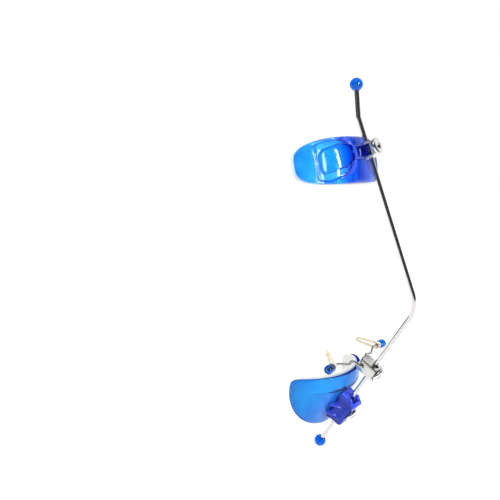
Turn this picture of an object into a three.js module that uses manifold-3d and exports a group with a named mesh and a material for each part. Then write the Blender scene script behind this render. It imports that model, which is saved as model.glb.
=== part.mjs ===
// Reverse-pull face mask: one bent steel rod carries a forehead pad, a crossbar with two elastic bands
// and a chin cup. Millimetres, +Z up, -Y the front, +X the left-hand side as worn.
// The origin is the centre of the forehead foam's inner face.

import * as THREE from 'three';
import { mergeVertices } from 'three/addons/utils/BufferGeometryUtils.js';
import Module from 'manifold-3d';

const wasm = await Module();
wasm.setup();

// Clearances, the reach of cutting tools and the weld that closes a mesh
const RUNNING_GAP = 0.25;
const SEAT_GAP = 0.3;
const FOAM_GAP = 0.4;
const OVERRUN = 3;
const WELD = 0.0001;

// Rod: three straight runs joined by two bends in the middle plane
const ROD_RADIUS = 1.5;
const TOP_RUN = 20.6;
const MAIN_RUN = 126.8;
const LOWER_RUN = 132;
const UPPER_BEND = 15;
const LOWER_BEND = 53.1;
const UPPER_BEND_RADIUS = 11;
const LOWER_BEND_RADIUS = 20;
const ROD_CAP_RADIUS = 4.2;

// Leans from the vertical, in degrees
const MAIN_LEAN = 23.4;
const PAD_LEAN = 14;
const CUP_LEAN = 27.7;

// Stations along the rod: the clamp below the upper bend, the others above the rod's foot
const CLAMP_DROP = 22.5;
const BLOCK_RISE = 75.7;
const CHIN_RISE = 36.65;

// Forehead pad: a bent oval shell over a foam liner
const PAD_BEND_RADIUS = 61;
const PAD_CROWN_RADIUS = 60;
const PAD_HALF_ARC = 52.5;
const PAD_HALF_HEIGHT = 15.2;
const SHELL_WALL = 2.4;
const FOREHEAD_FOAM = 4;
const FOAM_BORDER = 1.5;
const BRIDGE_RISE = 1.1;
const CLAMP_RISE = 4.5;
const PAD_STANDOFF = 3.7;
const DIMPLE_RADIUS = 1.1;
const DIMPLE_DEPTH = 1;
const DIMPLE_REACH = 11;

// Raised bow-tie bridge on the shell, and the sunken lobe round each of its ends, on the sheet
const BRIDGE_HUB_OUT = 8;
const BRIDGE_HUB_HALF = 4.1;
const BRIDGE_STEP_OUT = 15;
const BRIDGE_STEP_TOP = 10.3;
const BRIDGE_STEP_BOTTOM = 4.3;
const BRIDGE_FLAT = 4;
const BRIDGE_END_OUT = 33.5;
const BRIDGE_END_TOP = 7.2;
const BRIDGE_END_BOTTOM = 7.6;
const BRIDGE_NOSE = 2.5;
const LOBE_DEPTH = 0.8;
const LOBE_IN = 8.6;
const LOBE_WAIST = 2.5;
const LOBE_TOP_IN = 14.5;
const LOBE_LOW_IN = 11.5;
const LOBE_TOP = 12.6;
const LOBE_BOTTOM_IN = 27;
const LOBE_BOTTOM = 12.2;
const LOBE_OUT = 38.5;
const LOBE_OUT_HALF = 8;

// Forehead clamp: a bent strap whose ears ride on the rod, and the shell's knuckle between them
const STRAP_THICKNESS = 1.6;
const STRAP_BEND_RADIUS = 2.2;
const EAR_RADIUS = 3.3;
const STRAP_HEIGHT = 10.8;
const WEB_REACH = 4.9;
const KNUCKLE_RADIUS = 2.9;
const NECK_HALF_WIDTH = 5;

// Clamp screws
const SCREW_RADIUS = 2;
const SCREW_HEAD_RADIUS = 5.2;
const SCREW_HEAD_HEIGHT = 2.3;
const SCREW_CROWN = 0.5;
const SCREW_EDGE = 0.5;
const SOCKET_RADIUS = 2.3;
const SOCKET_DEPTH = 1.4;

// Crossbar block: bowed at the back, flat at the front, slotted for the rod and cross-drilled for the bar
const BLOCK_HALF_WIDTH = 5;
const BLOCK_FRONT = 4.25;
const BLOCK_BACK = 9.75;
const BLOCK_BOW = 1.9;
const BLOCK_HEIGHT = 8.9;
const BLOCK_CHAMFER = 0.9;
const ROD_SLOT_REACH = 2.9;

// Crossbar: half of its route from the block outwards, and what is on it
const BAR_RADIUS = 0.9;
const BAR_SEAT = 5.25;
const BAR_SIDE_GAP = 0.7;
const BAR_SET_OUT = 7.8;
const BAR_SET_BACK = 11.75;
const BAR_WAVE_OUT = 14.8;
const BAR_WAVE_BACK = 10.55;
const BAR_STEP_OUT = 23.4;
const BAR_STEP_BACK = 14.45;
const BAR_HALF_SPAN = 35.5;
const BAR_END_BACK = 13.45;
const BAR_BEND_RADIUS = 2;
const BAR_CAP_RADIUS = 2.9;
const BAR_CAP_LENGTH = 6.4;
const BAR_CAP_ROUND = 1.5;

// Elastic bands, stretched from the bar to the back
const BAND_RADIUS = 0.7;
const BAND_CAP_GAP = 0.3;
const BAND_RUN_IN = 8;
const BAND_RUN_BACK = 11;
const BAND_RUN_DOWN = 2;
const BAND_BAR_RADIUS = 2.15;
const BAND_TIP_RADIUS = 1.25;

// Chin cup: an open bowl whose front leans with the rod, its boss and its foam liner
const CUP_STANDOFF = 5.17;
const CUP_BROW_RISE = 16.17;
const CUP_HALF_WIDTH = 37;
const CUP_DEPTH = 27;
const CUP_FALL = 38;
const CUP_HALF_ARC = 40.5;
const CUP_TOP = 10.8;
const CUP_BOTTOM = 31;
const CHIN_FOAM = 3;
const CHIN_FOAM_BORDER = 0.9;
const BOSS_HALF_WIDTH = 5.2;
const BOSS_FRONT = 6.2;
const BOSS_TIP_FRONT = 6.2;
const BOSS_BOTTOM = 10.8;
const BOSS_ROUND = 1.6;
const BOSS_SKIRT = 3;
const COLLAR_HALF_WIDTH = 6.2;
const COLLAR_FRONT = 6.9;
const COLLAR_BOTTOM = 7.9;
const COLLAR_LIP = 9.2;
const COLLAR_TOP = 12.4;
const COLLAR_TOP_FRONT = 2.3;
const RIB_THICKNESS = 1.2;
const RIB_SPREAD = 7.3;
const RIB_FRONT = 3.4;
const RIB_BACK = 8.2;
const RIB_HIGH = 2;
const RIB_LOW = 6.2;

// Square nut in the boss's pocket
const NUT_WIDTH = 7;
const NUT_THICKNESS = 2.2;

// Shares of the sizes that they follow
const WING_OUTLINE_SHARE = 3.1;
const CUP_TOP_OUTLINE_SHARE = 5;
const CUP_BOTTOM_OUTLINE_SHARE = 1.9;
const CUP_SIDE_SHARE = 2.4;
const RIM_SHARE = 0.97;
const EDGE_SHARE = 0.25;

// Counts of facets
const ROUND_SIDES = 24;
const ROD_SIDES = 16;
const WIRE_SIDES = 10;
const ROD_BEND_STEPS = 7;
const WIRE_BEND_STEPS = 3;
const LINER_RINGS = 5;
const DISH_SEGMENTS = 56;
const PATCH_RINGS = 3;
const PATCH_SEGMENTS = 24;
const OUTLINE_STEPS = 160;
const BAND_SIDES = 6;
const BAND_STEPS = 24;

// Finishes
const chrome = new THREE.MeshStandardMaterial({ color: 0xc4c7cb, roughness: 0.16, metalness: 1 });
const steel = new THREE.MeshStandardMaterial({ color: 0xd6d5d0, roughness: 0.28, metalness: 1 });
const blue = new THREE.MeshStandardMaterial({ color: 0x1357d6, roughness: 0.12, metalness: 0 });
const foam = new THREE.MeshStandardMaterial({ color: 0xf4f4f0, roughness: 0.9, metalness: 0 });
const latex = new THREE.MeshStandardMaterial({ color: 0xf3ecc2, roughness: 0.55, metalness: 0 });

const radians = THREE.MathUtils.degToRad;
const { clamp, lerp } = THREE.MathUtils;
const LOWER_LEAN = LOWER_BEND - MAIN_LEAN;

// Bores, and how near to the rod's axis a screw's tip comes
const ROD_BORE = ROD_RADIUS + RUNNING_GAP;
const SCREW_BORE = SCREW_RADIUS + RUNNING_GAP;
const SCREW_TIP = ROD_RADIUS + SEAT_GAP;

// Welds a geometry into one closed body with its faces pointing out
function closed(geometry) {
  const bare = geometry.index ? geometry.toNonIndexed() : geometry.clone();
  bare.deleteAttribute('normal');
  bare.deleteAttribute('uv');
  const welded = mergeVertices(bare, WELD);
  const index = [];
  for (let i = 0; i < welded.index.count; i += 3) {
    const corners = [0, 1, 2].map((k) => welded.index.getX(i + k));
    if (new Set(corners).size === 3) index.push(...corners);
  }
  if (signedVolume(welded.attributes.position, index) < 0) index.reverse();
  welded.setIndex(index);
  return welded;
}

function signedVolume(places, index) {
  const [a, b, c] = [new THREE.Vector3(), new THREE.Vector3(), new THREE.Vector3()];
  let total = 0;
  for (let i = 0; i < index.length; i += 3) {
    a.fromBufferAttribute(places, index[i]);
    b.fromBufferAttribute(places, index[i + 1]);
    c.fromBufferAttribute(places, index[i + 2]);
    total += a.dot(b.cross(c));
  }
  return total;
}

function toSolid(geometry) {
  const body = closed(geometry);
  const vertProperties = new Float32Array(body.attributes.position.array);
  const triVerts = new Uint32Array(body.index.array);
  return new wasm.Manifold(new wasm.Mesh({ numProp: 3, vertProperties, triVerts }));
}

function fromSolid(solid) {
  const { vertProperties, triVerts, numProp } = solid.getMesh();
  const geometry = new THREE.BufferGeometry();
  const places = new Float32Array(vertProperties.length / numProp * 3);
  for (let i = 0; i < places.length / 3; i++) {
    for (let k = 0; k < 3; k++) places[i * 3 + k] = vertProperties[i * numProp + k];
  }
  geometry.setAttribute('position', new THREE.BufferAttribute(places, 3));
  geometry.setIndex(Array.from(triVerts));
  return geometry;
}

// Cuts and joins geometries
function shaped(base, { add = [], keep = [], cut = [] }) {
  let solid = toSolid(base);
  for (const tool of add) solid = solid.add(toSolid(tool));
  for (const tool of keep) solid = solid.intersect(toSolid(tool));
  for (const tool of cut) solid = solid.subtract(toSolid(tool));
  return fromSolid(solid);
}

// One named piece
function part(name, geometry, material) {
  const body = closed(geometry);
  body.computeVertexNormals();
  const mesh = new THREE.Mesh(body, material);
  mesh.name = name;
  return mesh;
}

// A cylinder along local Z between two heights
function post(radius, low, high, sides = ROUND_SIDES) {
  const rod = new THREE.CylinderGeometry(radius, radius, high - low, sides);
  return rod.rotateX(Math.PI / 2).translate(0, 0, (low + high) / 2);
}

// A cylinder along local Y between two places
function pin(radius, front, back, sides = ROUND_SIDES) {
  const rod = new THREE.CylinderGeometry(radius, radius, back - front, sides);
  return rod.translate(0, (front + back) / 2, 0);
}

// A box between two corners
function box(low, high) {
  const size = high.map((value, k) => value - low[k]);
  const middle = high.map((value, k) => (value + low[k]) / 2);
  return new THREE.BoxGeometry(...size).translate(...middle);
}

// An outline drawn in plan, X and Y, and raised along local Z
function raised(shape, low, high, chamfer = 0) {
  const options = { depth: high - low - 2 * chamfer, curveSegments: ROUND_SIDES / 2 };
  Object.assign(options, { bevelEnabled: chamfer > 0, bevelSegments: 2 });
  Object.assign(options, { bevelThickness: chamfer, bevelSize: chamfer, bevelOffset: -chamfer });
  return new THREE.ExtrudeGeometry(shape, options).translate(0, 0, low + chamfer);
}

// An outline drawn from the side, Y and Z, and carried across local X
function crosswise(shape, halfWidth) {
  const options = { depth: 2 * halfWidth, curveSegments: ROUND_SIDES / 4, bevelEnabled: false };
  const slab = new THREE.ExtrudeGeometry(shape, options).translate(0, 0, -halfWidth);
  const [x, y, z] = [[1, 0, 0], [0, 1, 0], [0, 0, 1]].map((axis) => new THREE.Vector3(...axis));
  return slab.applyMatrix4(new THREE.Matrix4().makeBasis(y, z, x));
}

// A route of straight runs and round bends, sampled only where it turns
class BentRoute extends THREE.Curve {
  constructor(corners, radii, steps) {
    super();
    this.places = [corners[0]];
    for (let i = 1; i < corners.length - 1; i++) {
      this.places.push(...bend(corners[i - 1], corners[i], corners[i + 1], radii[i - 1], steps));
    }
    this.places.push(corners.at(-1));
  }

  getPoint(t, target = new THREE.Vector3()) {
    const place = clamp(t, 0, 1) * (this.places.length - 1);
    const i = Math.min(Math.floor(place), this.places.length - 2);
    return target.lerpVectors(this.places[i], this.places[i + 1], place - i);
  }

  getUtoTmapping(u) {
    return u;
  }
}

function bend(before, corner, after, radius, steps) {
  const arriving = corner.clone().sub(before).normalize();
  const leaving = after.clone().sub(corner).normalize();
  const turn = arriving.angleTo(leaving);
  const axis = arriving.clone().cross(leaving).normalize();
  const start = corner.clone().addScaledVector(arriving, -radius * Math.tan(turn / 2));
  const centre = start.clone().addScaledVector(axis.clone().cross(arriving), radius);
  return Array.from({ length: steps + 1 }, (_, k) => {
    const spoke = start.clone().sub(centre).applyAxisAngle(axis, turn * k / steps);
    return spoke.add(centre);
  });
}

function wire(corners, radii, radius, sides, bendSteps) {
  const route = new BentRoute(corners, radii, bendSteps);
  const section = new THREE.Shape().absarc(0, 0, radius, 0, 2 * Math.PI);
  const options = { steps: route.places.length - 1, extrudePath: route, curveSegments: sides / 2 };
  return new THREE.ExtrudeGeometry(section, options);
}

// A plate whose front and back are laid on a curved skin. outline is the path of its edge on the sheet,
// border pushes its rim further out, skin is the point at a place on the sheet, and front and back
// are the heights above it.
function dish(form) {
  const { outline, hub, border = 0, skin, front, back } = form;
  const { rings = LINER_RINGS, segments = DISH_SEGMENTS } = form;
  const centre = hub ?? new THREE.Vector2();
  const profile = [];
  for (let i = 0; i <= rings; i++) profile.push(new THREE.Vector2(RIM_SHARE * i / rings, 1));
  profile.push(new THREE.Vector2(1, 1 - EDGE_SHARE), new THREE.Vector2(1, EDGE_SHARE));
  const backRings = Math.min(rings, LINER_RINGS);
  for (let i = backRings; i >= 0; i--) profile.push(new THREE.Vector2(RIM_SHARE * i / backRings, 0));
  const geometry = new THREE.LatheGeometry(profile, segments);
  const places = geometry.attributes.position;
  for (let i = 0; i < places.count; i++) {
    const share = Math.hypot(places.getX(i), places.getZ(i));
    const turn = Math.atan2(places.getZ(i), places.getX(i)) / (2 * Math.PI);
    const edge = outline.getPointAt((turn + 1) % 1);
    const push = share > RIM_SHARE + WELD ? border / edge.length() : 0;
    const [across, up] = edge.sub(centre).multiplyScalar(share + push).add(centre).toArray();
    const height = lerp(back(across, up), front(across, up), places.getY(i));
    const place = skin(across, up).addScaledVector(skinNormal(skin, across, up), height);
    places.setXYZ(i, place.x, place.y, place.z);
  }
  return geometry;
}

// The skin's unit normal on its outer side, from two short steps on the sheet
function skinNormal(skin, across, up) {
  const step = WELD;
  const right = skin(across + step, up).sub(skin(across - step, up));
  const rise = skin(across, up + step).sub(skin(across, up - step));
  return right.cross(rise).normalize();
}

// A rounded oval whose corners fill out as its power grows, with an upper and a lower half
function oval(halfWidth, upper, lower) {
  const points = Array.from({ length: OUTLINE_STEPS + 1 }, (_, k) => {
    const angle = 2 * Math.PI * k / OUTLINE_STEPS;
    const { height, power } = Math.sin(angle) > 0 ? upper : lower;
    const [c, s] = [Math.cos(angle), Math.sin(angle)];
    const reach = (Math.abs(c) ** power + Math.abs(s) ** power) ** (-1 / power);
    return new THREE.Vector2(halfWidth * c * reach, height * s * reach);
  });
  return new THREE.Path(points);
}

// Rod and its caps, in the clamp's frame: the main run is local Z and passes through the clamp's centre
const upperBend = new THREE.Vector3(0, 0, CLAMP_DROP);
const lowerBend = new THREE.Vector3(0, 0, CLAMP_DROP - MAIN_RUN);

function along(angle, length) {
  return new THREE.Vector3(0, length * Math.sin(radians(angle)), length * Math.cos(radians(angle)));
}

const rodTop = upperBend.clone().add(along(-UPPER_BEND, TOP_RUN));
const rodFoot = lowerBend.clone().sub(along(-LOWER_BEND, LOWER_RUN));

function makeRod() {
  const radii = [UPPER_BEND_RADIUS, LOWER_BEND_RADIUS];
  return wire([rodTop, upperBend, lowerBend, rodFoot], radii, ROD_RADIUS, ROD_SIDES, ROD_BEND_STEPS);
}

// A ball with a blind bore for the rod's end, which stops at the ball's centre. Its mouth faces +Y.
function makeBall(radius, bore) {
  const mouth = Math.sqrt(radius ** 2 - bore ** 2);
  const profile = [new THREE.Vector2(0, -SEAT_GAP), new THREE.Vector2(bore, -SEAT_GAP)];
  const start = Math.atan2(mouth, bore);
  const steps = ROUND_SIDES / 3;
  for (let i = 0; i < steps; i++) {
    const angle = lerp(start, -Math.PI / 2, i / steps);
    profile.push(new THREE.Vector2(radius * Math.cos(angle), radius * Math.sin(angle)));
  }
  profile.push(new THREE.Vector2(0, -radius));
  return new THREE.LatheGeometry(profile, ROUND_SIDES);
}

function makeRodCap(name, place, lean) {
  const cap = part(name, makeBall(ROD_CAP_RADIUS, ROD_BORE), blue);
  cap.position.copy(place);
  cap.rotation.x = lean;
  return cap;
}

// Clamp screw along local Y: its tip stops short of the rod and its head seats in front of a face
function makeScrew(seat) {
  const back = -seat - SEAT_GAP;
  const rim = back - SCREW_HEAD_HEIGHT + SCREW_CROWN;
  const front = back - SCREW_HEAD_HEIGHT;
  const profile = [
    [0, -SCREW_TIP],
    [SCREW_RADIUS - SCREW_EDGE, -SCREW_TIP],
    [SCREW_RADIUS, -SCREW_TIP - SCREW_EDGE],
    [SCREW_RADIUS, back],
    [SCREW_HEAD_RADIUS - SCREW_EDGE, back],
    [SCREW_HEAD_RADIUS, back - SCREW_EDGE],
    [SCREW_HEAD_RADIUS, rim],
    [SCREW_HEAD_RADIUS - SCREW_EDGE, rim - SCREW_CROWN / 2],
    [SOCKET_RADIUS + SCREW_EDGE, front],
    [0, front],
  ].map(([r, y]) => new THREE.Vector2(r, y));
  const blank = new THREE.LatheGeometry(profile, ROUND_SIDES);
  const socket = pin(SOCKET_RADIUS, front - OVERRUN, front + SOCKET_DEPTH, 6);
  return shaped(blank, { cut: [socket] });
}

// Forehead pad, in its own frame: the foam's inner face is at the origin and the sheet leans with it
const PAD_FRONT = SHELL_WALL + FOAM_GAP + FOREHEAD_FOAM;

function padSkin(across, up) {
  const turn = across / PAD_BEND_RADIUS;
  const back = PAD_BEND_RADIUS * (1 - Math.cos(turn)) + up ** 2 / (2 * PAD_CROWN_RADIUS);
  return new THREE.Vector3(PAD_BEND_RADIUS * Math.sin(turn), back - PAD_FRONT, up);
}

// One half of the bow-tie bridge, from the middle plane out, and the lobe that it ends in
const bridgeCorners = [
  [0, CLAMP_RISE + BRIDGE_HUB_HALF],
  [0, CLAMP_RISE - BRIDGE_HUB_HALF],
  [BRIDGE_HUB_OUT, CLAMP_RISE - BRIDGE_HUB_HALF],
  [BRIDGE_STEP_OUT, -BRIDGE_STEP_BOTTOM],
  [BRIDGE_STEP_OUT + BRIDGE_FLAT, -BRIDGE_STEP_BOTTOM],
  [BRIDGE_END_OUT, -BRIDGE_END_BOTTOM],
  [BRIDGE_END_OUT + BRIDGE_NOSE, -BRIDGE_END_BOTTOM / 2],
  [BRIDGE_END_OUT + BRIDGE_NOSE, BRIDGE_END_TOP / 2],
  [BRIDGE_END_OUT, BRIDGE_END_TOP],
  [BRIDGE_STEP_OUT + BRIDGE_FLAT, BRIDGE_STEP_TOP],
  [BRIDGE_STEP_OUT, BRIDGE_STEP_TOP],
  [BRIDGE_HUB_OUT, CLAMP_RISE + BRIDGE_HUB_HALF],
];
const lobeCorners = [
  [LOBE_IN, LOBE_WAIST],
  [LOBE_LOW_IN, -LOBE_BOTTOM / 2],
  [LOBE_BOTTOM_IN, -LOBE_BOTTOM],
  [LOBE_OUT, -LOBE_OUT_HALF],
  [LOBE_OUT, LOBE_OUT_HALF],
  [LOBE_BOTTOM_IN, LOBE_TOP - BRIDGE_NOSE / 2],
  [LOBE_TOP_IN, LOBE_TOP],
  [LOBE_IN + BRIDGE_NOSE, LOBE_TOP - BRIDGE_NOSE],
];

// An outline that runs straight from corner to corner, each side in an equal share of the turn
function cornered(corners) {
  const getPointAt = (turn) => {
    const place = turn * corners.length;
    const [from, to] = [0, 1].map((step) => corners[(Math.floor(place) + step) % corners.length]);
    return from.clone().lerp(to, place % 1);
  };
  return { getPointAt };
}

// A plate laid over the sheet inside a ring of corners, on one side of the middle plane
function patch(corners, side, hub, low, high) {
  const ring = corners.map(([across, up]) => new THREE.Vector2(side * across, up));
  const [front, back, place] = [() => high, () => low, new THREE.Vector2(side * hub[0], hub[1])];
  const counts = { rings: PATCH_RINGS, segments: PATCH_SEGMENTS };
  return dish({ outline: cornered(ring), hub: place, skin: padSkin, front, back, ...counts });
}

const CLAMP_STAND = PAD_FRONT + BRIDGE_RISE + PAD_STANDOFF;
const EAR_GAP_HALF = STRAP_HEIGHT / 2 - STRAP_THICKNESS;
const KNUCKLE_HALF = EAR_GAP_HALF - SEAT_GAP;

// The knuckle that rides on the rod, with a window for the screw's tip
function makeKnuckle() {
  const plan = new THREE.Shape();
  plan.absarc(0, 0, KNUCKLE_RADIUS, Math.PI, 2 * Math.PI);
  plan.lineTo(KNUCKLE_RADIUS, PAD_STANDOFF / 2);
  plan.lineTo(NECK_HALF_WIDTH, PAD_STANDOFF + BRIDGE_RISE + SHELL_WALL / 2);
  plan.lineTo(-NECK_HALF_WIDTH, PAD_STANDOFF + BRIDGE_RISE + SHELL_WALL / 2);
  plan.lineTo(-KNUCKLE_RADIUS, PAD_STANDOFF / 2);
  return raised(plan, -KNUCKLE_HALF, KNUCKLE_HALF);
}

const padHalf = { height: PAD_HALF_HEIGHT, power: WING_OUTLINE_SHARE };
const padOutline = oval(PAD_HALF_ARC, padHalf, padHalf);

function makeForeheadShell(inPad) {
  const back = () => -SHELL_WALL;
  const sheet = dish({ outline: padOutline, skin: padSkin, front: () => 0, back });
  const lobeHub = [(LOBE_IN + LOBE_OUT) / 2, 0];
  const bridgeHub = [(BRIDGE_STEP_OUT + BRIDGE_END_OUT) / 2, (BRIDGE_STEP_TOP - BRIDGE_END_BOTTOM) / 2];
  const lobes = [-1, 1].map((side) => patch(lobeCorners, side, lobeHub, -LOBE_DEPTH, OVERRUN));
  const foot = -SHELL_WALL / 2;
  const bridges = [-1, 1].map((side) => patch(bridgeCorners, side, bridgeHub, foot, BRIDGE_RISE));
  const bore = post(ROD_BORE, -STRAP_HEIGHT, STRAP_HEIGHT);
  const reach = KNUCKLE_RADIUS + OVERRUN;
  const window = box([-reach, -reach, -SCREW_BORE], [reach, 0, SCREW_BORE]);
  const dimples = [-1, 1].map((side) => {
    const place = padSkin(side * DIMPLE_REACH, CLAMP_RISE);
    const pit = pin(DIMPLE_RADIUS, -OVERRUN, DIMPLE_DEPTH, ROUND_SIDES / 2);
    return pit.translate(place.x, place.y - BRIDGE_RISE, place.z);
  });
  const cut = [bore.applyMatrix4(inPad), window.applyMatrix4(inPad), ...dimples];
  const relief = shaped(sheet, { cut: lobes });
  return shaped(relief, { add: [...bridges, makeKnuckle().applyMatrix4(inPad)], cut });
}

function makeForeheadLiner() {
  const front = () => -SHELL_WALL - FOAM_GAP;
  const back = () => -PAD_FRONT;
  return dish({ outline: padOutline, border: FOAM_BORDER, skin: padSkin, front, back });
}

// Forehead clamp strap: a U of flat steel whose two ears ride on the rod
function makeStrap() {
  const [front, back, half] = [-WEB_REACH, EAR_RADIUS, STRAP_HEIGHT / 2];
  const inner = STRAP_BEND_RADIUS - STRAP_THICKNESS;
  const turnY = front + STRAP_BEND_RADIUS;
  const turnZ = half - STRAP_BEND_RADIUS;
  const side = new THREE.Shape();
  side.moveTo(back, -half);
  side.lineTo(back, -half + STRAP_THICKNESS);
  side.absarc(turnY, -turnZ, inner, -Math.PI / 2, -Math.PI, true);
  side.absarc(turnY, turnZ, inner, Math.PI, Math.PI / 2, true);
  side.lineTo(back, half - STRAP_THICKNESS);
  side.lineTo(back, half);
  side.absarc(turnY, turnZ, STRAP_BEND_RADIUS, Math.PI / 2, Math.PI);
  side.absarc(turnY, -turnZ, STRAP_BEND_RADIUS, Math.PI, 3 * Math.PI / 2);
  const plan = new THREE.Shape().absarc(0, 0, EAR_RADIUS, 0, Math.PI);
  plan.lineTo(-EAR_RADIUS, front - OVERRUN);
  plan.lineTo(EAR_RADIUS, front - OVERRUN);
  const keep = [raised(plan, -half - OVERRUN, half + OVERRUN)];
  const bore = post(ROD_BORE, -half - OVERRUN, half + OVERRUN);
  const cut = [bore, pin(SCREW_BORE, front - OVERRUN, 0)];
  return shaped(crosswise(side, EAR_RADIUS + OVERRUN), { keep, cut });
}

// Crossbar block, in its own frame: the rod is local Z through the origin
function makeBlock() {
  const bowRadius = (BLOCK_HALF_WIDTH ** 2 + BLOCK_BOW ** 2) / (2 * BLOCK_BOW);
  const bowTurn = Math.asin(BLOCK_HALF_WIDTH / bowRadius);
  const [start, end] = [Math.PI / 2 - bowTurn, Math.PI / 2 + bowTurn];
  const plan = new THREE.Shape().absarc(0, BLOCK_BACK - bowRadius, bowRadius, start, end);
  plan.lineTo(-BLOCK_HALF_WIDTH, -BLOCK_FRONT);
  plan.lineTo(BLOCK_HALF_WIDTH, -BLOCK_FRONT);
  const half = BLOCK_HEIGHT / 2;
  const reach = BLOCK_HALF_WIDTH + OVERRUN;
  const tunnel = new THREE.Shape().absarc(0, 0, ROD_BORE, 0, Math.PI);
  tunnel.absarc(0, ROD_BORE - ROD_SLOT_REACH, ROD_BORE, Math.PI, 2 * Math.PI);
  const eye = post(BAR_RADIUS + SEAT_GAP, -reach, reach).rotateY(Math.PI / 2).translate(0, BAR_SEAT, 0);
  const cut = [
    raised(tunnel, -half - OVERRUN, half + OVERRUN),
    eye,
    pin(SCREW_BORE, -BLOCK_FRONT - OVERRUN, 0),
  ];
  return shaped(raised(plan, -half, half, BLOCK_CHAMFER), { cut });
}

// Crossbar: one wire that leaves the cross hole and bends back beside the block, the same on both sides
function barCorners() {
  const side = BLOCK_HALF_WIDTH + BAR_SIDE_GAP + BAR_RADIUS;
  const half = [
    [side, BAR_SEAT],
    [BAR_SET_OUT, BAR_SET_BACK],
    [BAR_WAVE_OUT, BAR_WAVE_BACK],
    [BAR_STEP_OUT, BAR_STEP_BACK],
    [BAR_HALF_SPAN, BAR_END_BACK],
  ];
  const left = half.map(([x, y]) => new THREE.Vector3(x, y, 0));
  const right = half.map(([x, y]) => new THREE.Vector3(-x, y, 0));
  return [...right.reverse(), ...left];
}

function makeBar() {
  const corners = barCorners();
  const radii = corners.slice(2).map(() => BAR_BEND_RADIUS);
  return wire(corners, radii, BAR_RADIUS, WIRE_SIDES, WIRE_BEND_STEPS);
}

// A soft cap on the bar's end. Its mouth faces +Y and the wire stops inside it.
function makeBarCap() {
  const bore = BAR_RADIUS + RUNNING_GAP;
  const [mouth, end] = [BAR_CAP_LENGTH - BAR_CAP_ROUND, -BAR_CAP_ROUND];
  const steps = ROUND_SIDES / 4;
  const profile = [new THREE.Vector2(0, -SEAT_GAP), new THREE.Vector2(bore, -SEAT_GAP)];
  profile.push(new THREE.Vector2(bore, mouth), new THREE.Vector2(BAR_CAP_RADIUS, mouth));
  for (let i = 0; i < steps; i++) {
    const angle = i / steps * Math.PI / 2;
    const reach = BAR_CAP_RADIUS - BAR_CAP_ROUND * (1 - Math.cos(angle));
    profile.push(new THREE.Vector2(reach, -BAR_CAP_ROUND * Math.sin(angle)));
  }
  profile.push(new THREE.Vector2(0, end));
  return new THREE.LatheGeometry(profile, ROUND_SIDES);
}

function makeBarEnd(name, side) {
  const end = new THREE.Vector3(side * BAR_HALF_SPAN, BAR_END_BACK, 0);
  const before = new THREE.Vector3(side * BAR_STEP_OUT, BAR_STEP_BACK, 0);
  const cap = part(name, makeBarCap(), blue);
  cap.position.copy(end);
  cap.quaternion.setFromUnitVectors(new THREE.Vector3(0, 1, 0), before.sub(end).normalize());
  return cap;
}

// An elastic band: a torus drawn out from the bar to the back
function makeBand(name, side) {
  const inset = BAR_CAP_LENGTH - BAR_CAP_ROUND + BAND_CAP_GAP + BAND_BAR_RADIUS;
  const seatOut = BAR_HALF_SPAN - inset;
  const share = (seatOut - BAR_STEP_OUT) / (BAR_HALF_SPAN - BAR_STEP_OUT);
  const seat = new THREE.Vector3(side * seatOut, lerp(BAR_STEP_BACK, BAR_END_BACK, share), 0);
  const run = new THREE.Vector3(-side * BAND_RUN_IN, BAND_RUN_BACK, -BAND_RUN_DOWN);
  const length = run.length();
  const geometry = new THREE.TorusGeometry(BAND_BAR_RADIUS, BAND_RADIUS, BAND_SIDES, BAND_STEPS);
  const places = geometry.attributes.position;
  for (let i = 0; i < places.count; i++) {
    const angle = Math.atan2(places.getY(i), places.getX(i));
    const out = Math.hypot(places.getX(i), places.getY(i)) - BAND_BAR_RADIUS;
    const atTip = length * Math.cos(angle) + BAND_TIP_RADIUS > BAND_BAR_RADIUS;
    const reach = (atTip ? BAND_TIP_RADIUS : BAND_BAR_RADIUS) + out;
    const x = (atTip ? length : 0) + reach * Math.cos(angle);
    places.setXYZ(i, x, reach * Math.sin(angle), places.getZ(i));
  }
  const forward = run.normalize();
  const upward = new THREE.Vector3(side, 0, 0).cross(forward).normalize();
  const across = forward.clone().cross(upward);
  const band = part(name, geometry, latex);
  band.setRotationFromMatrix(new THREE.Matrix4().makeBasis(forward, upward, across));
  band.position.copy(seat);
  return band;
}

// Chin cup. Its sheet is measured round the cup at its widest level and in height above that level.
const cupCentre = new THREE.Vector3(
  0,
  CUP_STANDOFF + CUP_DEPTH * Math.cos(radians(LOWER_LEAN)),
  CUP_BROW_RISE - CUP_DEPTH * Math.sin(radians(LOWER_LEAN)),
);

function cupSkin(across, up) {
  const below = clamp(-up / CUP_FALL, 0, 1);
  const width = CUP_HALF_WIDTH * (1 - below ** CUP_SIDE_SHARE) ** (1 / CUP_SIDE_SHARE);
  const depth = CUP_DEPTH - below * CUP_FALL * Math.tan(radians(CUP_LEAN));
  const angle = across / CUP_DEPTH;
  return new THREE.Vector3(width * Math.sin(angle), -depth * Math.cos(angle), up);
}

const cupOutline = oval(
  CUP_HALF_ARC,
  { height: CUP_TOP, power: CUP_TOP_OUTLINE_SHARE },
  { height: CUP_BOTTOM, power: CUP_BOTTOM_OUTLINE_SHARE },
);

// The boss that the rod passes through, in the chin clamp's frame, and the collar round its top
const BOSS_BACK = CUP_STANDOFF + SHELL_WALL;

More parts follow.
